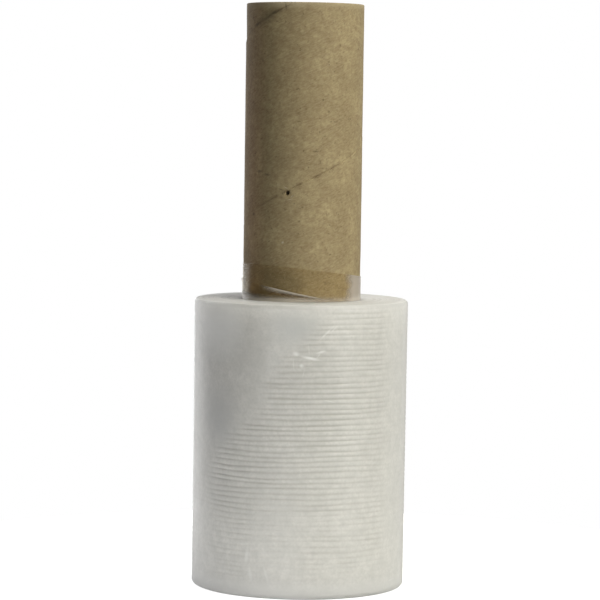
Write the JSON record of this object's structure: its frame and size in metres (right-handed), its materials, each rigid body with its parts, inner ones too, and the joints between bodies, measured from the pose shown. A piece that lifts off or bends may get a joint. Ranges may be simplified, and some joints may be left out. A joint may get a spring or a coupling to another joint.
{
  "type": "stretch wrap roll",
  "caption": "Hand roll of clear stretch wrap wound on the lower half of a spiral paperboard tube, whose bare upper half is the handle.",
  "frame": {"origin": "centre of the roll's foot, on the surface that it stands on", "axes": "+Z along the tube, from the wound film to the handle; -Y towards the viewer of the picture"},
  "size_m": [0.0744, 0.0745, 0.202],
  "materials": {
    "core_tube": "matt, raw brown paperboard",
    "film_roll": "semi-gloss clear film, milky white where it is wound thick"
  },
  "bodies": {
    "root": {"core_tube": "core_tube", "film_roll": "film_roll"}
  },
  "joints": []
}
